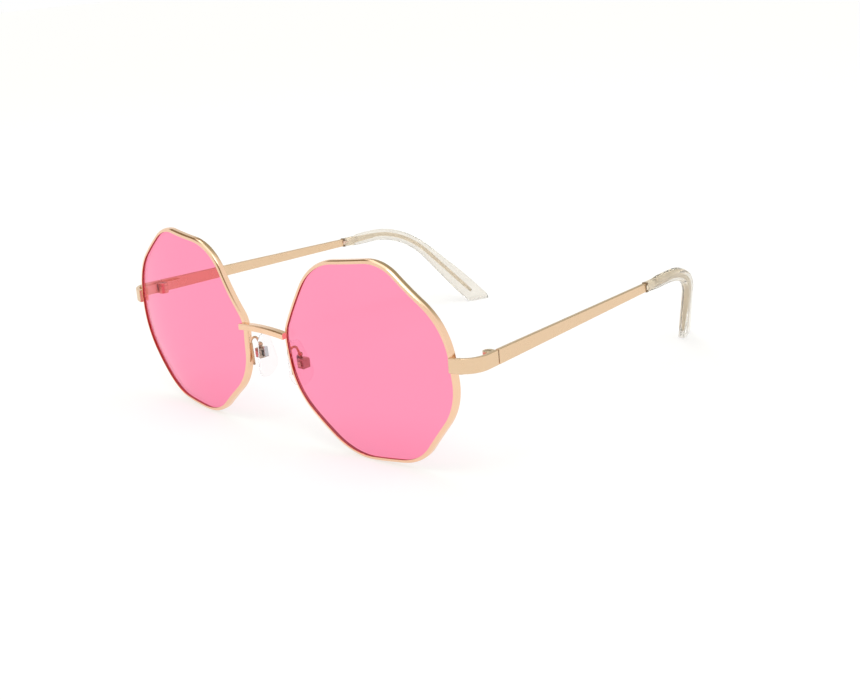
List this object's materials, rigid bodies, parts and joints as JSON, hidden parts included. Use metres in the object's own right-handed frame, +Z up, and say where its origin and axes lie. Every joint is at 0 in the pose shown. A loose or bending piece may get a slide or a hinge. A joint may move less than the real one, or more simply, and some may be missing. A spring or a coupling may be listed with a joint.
{
  "type": "sunglasses",
  "caption": "Thin metal sunglasses with eight-sided pink lenses, a straight bar bridge, adjustable nose pads, screw hinges, folding temples and clear curved temple tips.",
  "frame": {"origin": "middle of the box round the whole part, at the height of the surface it stands on", "axes": "+Z up, +X the wearer's left, the front of the lenses faces -Y, the temples run towards +Y"},
  "size_m": [0.1416, 0.138, 0.054],
  "materials": {
    "gold_rim": "polished pale gold plating",
    "gold_band": "satin pale gold plating",
    "lens_tint": "clear pink tint, polished",
    "tip_clear": "clear, slightly milky, polished",
    "pad_clear": "clear silicone, satin",
    "pad_metal": "brushed",
    "screw_steel": "turned, pale"
  },
  "bodies": {
    "front": {"rim_left": "gold_rim", "rim_right": "gold_rim", "lens_left": "lens_tint", "lens_right": "lens_tint", "bridge": "gold_rim", "endpiece_left": "gold_band", "endpiece_right": "gold_band", "block_upper_left": "gold_rim", "block_upper_right": "gold_rim", "block_lower_left": "gold_rim", "block_lower_right": "gold_rim", "rim_screw_left": "screw_steel", "rim_screw_right": "screw_steel", "pad_arm_left": "gold_rim", "pad_arm_right": "gold_rim", "pad_box_left": "gold_rim", "pad_box_right": "gold_rim", "pad_screw_left": "screw_steel", "pad_screw_right": "screw_steel", "hinge_front_leaf_left": "gold_band", "hinge_front_leaf_right": "gold_band", "hinge_screw_left": "screw_steel", "hinge_screw_right": "screw_steel"},
    "left_temple": {"hinge_temple_leaf_left": "gold_band", "temple_left": "gold_band", "temple_tip_left": "tip_clear"},
    "right_temple": {"hinge_temple_leaf_right": "gold_band", "temple_right": "gold_band", "temple_tip_right": "tip_clear"},
    "left_pad": {"pad_insert_left": "pad_metal", "nose_pad_left": "pad_clear"},
    "right_pad": {"pad_insert_right": "pad_metal", "nose_pad_right": "pad_clear"}
  },
  "joints": [
    {"name": "left_temple_fold", "type": "hinge", "parent": "front", "child": "left_temple", "pos_m": [0.0676, -0.05252, 0.03021], "axis": [-0.0041, 0.012, 0.9999], "range_deg": [0, 80]},
    {"name": "right_temple_fold", "type": "hinge", "parent": "front", "child": "right_temple", "pos_m": [-0.0676, -0.05252, 0.03021], "axis": [-0.0041, -0.012, -0.9999], "range_deg": [0, 72]},
    {"name": "left_pad_rock", "type": "hinge", "parent": "front", "child": "left_pad", "pos_m": [0.0091, -0.06204, 0.02132], "axis": [0, 0.9996, 0.0297], "range_deg": [-6, 6]},
    {"name": "right_pad_rock", "type": "hinge", "parent": "front", "child": "right_pad", "pos_m": [-0.0091, -0.06204, 0.02132], "axis": [0, -0.9996, -0.0297], "range_deg": [-6, 6]}
  ]
}
